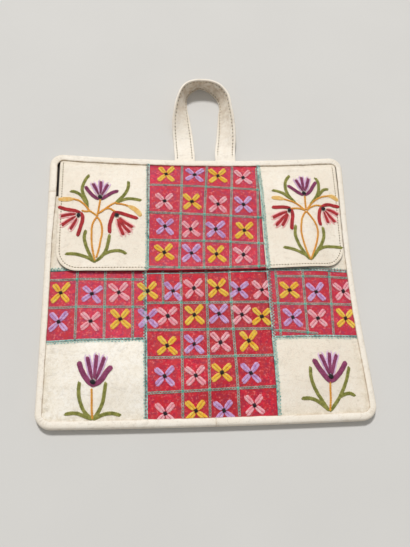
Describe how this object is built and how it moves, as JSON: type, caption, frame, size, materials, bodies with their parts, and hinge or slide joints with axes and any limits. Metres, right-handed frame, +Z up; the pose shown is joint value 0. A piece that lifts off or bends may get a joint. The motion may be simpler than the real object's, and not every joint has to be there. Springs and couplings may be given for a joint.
{
  "type": "embroidered medicine bag",
  "caption": "Flat leather pouch with an embroidered cross of red bands, flower corners, a fold-over flap and a loop handle.",
  "frame": {"origin": "the middle of the pouch's back, on the surface that it lies on", "axes": "+X to the right of the front, +Y towards the handle, +Z up out of the front"},
  "size_m": [0.2797, 0.3368, 0.0195],
  "materials": {
    "cream_leather": "smooth, slightly glossy",
    "edge_leather": "smooth, slightly glossy",
    "red_leather": "soft, mottled",
    "lining_cloth": "plain weave",
    "embroidery_thread": "twisted cotton thread in several colours"
  },
  "bodies": {
    "pouch": {"back_panel": "cream_leather", "back_lining": "lining_cloth", "front_lining": "lining_cloth", "front_patch_upper_left": "cream_leather", "front_patch_upper_right": "cream_leather", "front_patch_lower_left": "cream_leather", "front_patch_lower_right": "cream_leather", "cross_arm_left": "red_leather", "cross_arm_right": "red_leather", "cross_centre_band": "red_leather", "edge_binding": "edge_leather", "flap_root": "cream_leather", "handle_strap": "edge_leather"},
    "flap": {"flap_lining": "lining_cloth", "flap_patch_left": "cream_leather", "flap_centre_band": "red_leather", "flap_patch_right": "cream_leather"}
  },
  "joints": [
    {"name": "flap_fold", "type": "hinge", "parent": "pouch", "child": "flap", "pos_m": [0, 0.111, 0.0087], "axis": [-1, 0, 0], "range_deg": [0, 165]}
  ]
}
